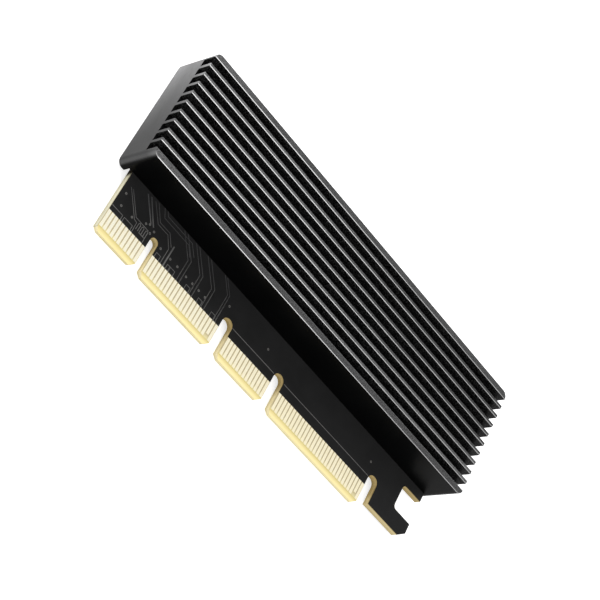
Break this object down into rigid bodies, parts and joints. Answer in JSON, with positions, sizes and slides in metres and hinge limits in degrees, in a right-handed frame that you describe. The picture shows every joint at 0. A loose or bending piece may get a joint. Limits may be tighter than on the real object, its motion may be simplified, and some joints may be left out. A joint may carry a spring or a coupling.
{
  "type": "nvme adapter card",
  "caption": "Long slot card that carries an M.2 solid-state drive under a black finned heatsink, with a gold edge connector and a retention hook.",
  "frame": {"origin": "middle of the key notch, on the board's bottom edge, on the board's back face", "axes": "+X along the edge connector from its short end to the retention hook, +Y up the board away from the connector, +Z out of the component side through the fins"},
  "size_m": [0.1043, 0.0432, 0.0119],
  "materials": {
    "circuit_board": "black solder mask over glass-fibre laminate",
    "gold_plate": "gold plated over copper",
    "gold_contacts": "gold plated, stamped",
    "black_aluminium": "black anodised",
    "gap_pad": "soft filled silicone",
    "socket_moulding": "moulded, matt black",
    "tinned_metal": "tinned",
    "turned_brass": "turned, nickel plated",
    "steel_screw": "nickel plated",
    "black_screw": "black oxide",
    "chip_ceramic": "ceramic chip with tinned ends",
    "tantalum_case": "moulded case",
    "led_lens": "clear moulded lens",
    "chip_resistor": "ceramic chip with tinned ends"
  },
  "bodies": {
    "root": {"pcb": "circuit_board", "front_fingers": "gold_plate", "back_fingers": "gold_plate", "heatsink": "black_aluminium", "thermal_pad": "gap_pad", "socket_upper_contacts": "gold_contacts", "socket_lower_contacts": "gold_contacts", "ssd_socket": "socket_moulding", "socket_tabs": "tinned_metal", "ssd_standoff": "turned_brass", "ssd_screw": "steel_screw", "cover_screw_1": "black_screw", "cover_screw_2": "black_screw", "cover_screw_3": "black_screw", "cover_screw_4": "black_screw", "coupling_capacitors": "chip_ceramic", "supply_capacitors": "chip_ceramic", "tantalum_capacitor": "tantalum_case", "status_led": "led_lens", "resistors": "chip_resistor"}
  },
  "joints": []
}
